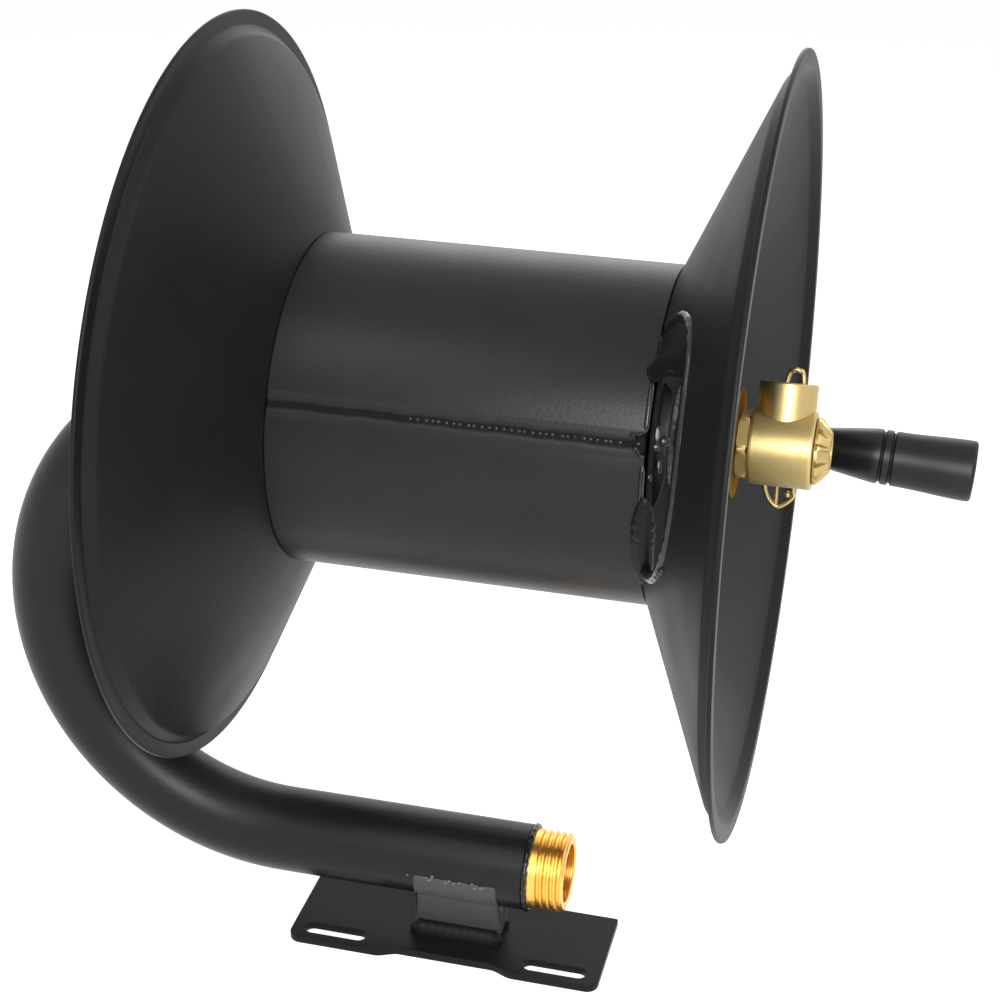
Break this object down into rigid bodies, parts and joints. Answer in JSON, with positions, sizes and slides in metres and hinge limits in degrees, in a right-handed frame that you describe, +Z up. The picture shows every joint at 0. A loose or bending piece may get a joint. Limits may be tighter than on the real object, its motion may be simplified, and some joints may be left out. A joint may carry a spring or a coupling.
{
  "type": "hose reel",
  "caption": "Hose reel with dished flanges on a drum that turns on a bent tube arm, with a slotted base plate, brass swivel inlet, threaded brass stub and free-turning crank grip.",
  "frame": {"origin": "centre of the base plate's underside", "axes": "+Z up, away from the plate; +X along the drum's axis from the arm side to the swivel and crank side; -Y is the front, the side with the hose opening"},
  "size_m": [0.4644, 0.35, 0.464],
  "materials": {
    "black_coat": "satin powder coat",
    "gloss_coat": "gloss coat over weld",
    "scuffed_coat": "dry grey coat",
    "golden_brass": "machined",
    "pale_brass": "satin",
    "zinc_steel": "zinc plated",
    "nylon": "natural",
    "rubber": "matte",
    "grip_plastic": "semi gloss"
  },
  "bodies": {
    "frame": {"base_plate": "black_coat", "stand_off_block": "scuffed_coat", "block_weld_front": "gloss_coat", "block_weld_back": "gloss_coat", "block_weld_top_front": "scuffed_coat", "block_weld_top_back": "scuffed_coat", "frame_tube": "black_coat", "frame_bend_low": "black_coat", "frame_bend_high": "black_coat", "threaded_stub": "golden_brass", "tube_end_ring": "gloss_coat", "axle_plug": "zinc_steel", "axle_shaft": "zinc_steel", "thrust_washer": "nylon", "axle_end_washer": "zinc_steel", "axle_snap_ring": "zinc_steel"},
    "drum": {"drum_shell": "black_coat", "left_flange": "black_coat", "right_flange": "black_coat", "left_end_disc": "black_coat", "right_end_disc": "black_coat", "port_rim_rod": "gloss_coat", "port_weld_bead": "gloss_coat", "port_lip": "gloss_coat", "port_inner_wall": "gloss_coat", "drum_seam_weld": "gloss_coat", "hub_sleeve": "black_coat", "inner_bulkhead": "black_coat", "left_bush": "nylon", "right_bush": "nylon", "inlet_boss": "black_coat", "boss_weld": "gloss_coat", "riser_pipe": "black_coat", "hose_socket": "black_coat", "brass_washer": "pale_brass", "inlet_stem": "pale_brass", "swivel_seal_1": "rubber", "swivel_seal_2": "rubber", "swivel_ring": "pale_brass", "crank_boss": "black_coat", "crank_stud": "zinc_steel", "crank_lock_nut": "zinc_steel", "crank_washer": "zinc_steel", "grip_end_nut": "zinc_steel"},
    "swivel": {"swivel_body": "pale_brass", "swivel_clip": "pale_brass"},
    "grip": {"crank_grip": "grip_plastic", "grip_end_cap": "grip_plastic"}
  },
  "joints": [
    {"name": "drum_spin", "type": "hinge", "parent": "frame", "child": "drum", "pos_m": [0, 0, 0.289], "axis": [1, 0, 0], "continuous": true},
    {"name": "swivel_turn", "type": "hinge", "parent": "drum", "child": "swivel", "pos_m": [0.14795, 0, 0.289], "axis": [1, 0, 0], "continuous": true},
    {"name": "grip_spin", "type": "hinge", "parent": "drum", "child": "grip", "pos_m": [0.12174, 0.1167, 0.2442], "axis": [0.9983, 0, -0.0576], "continuous": true}
  ]
}
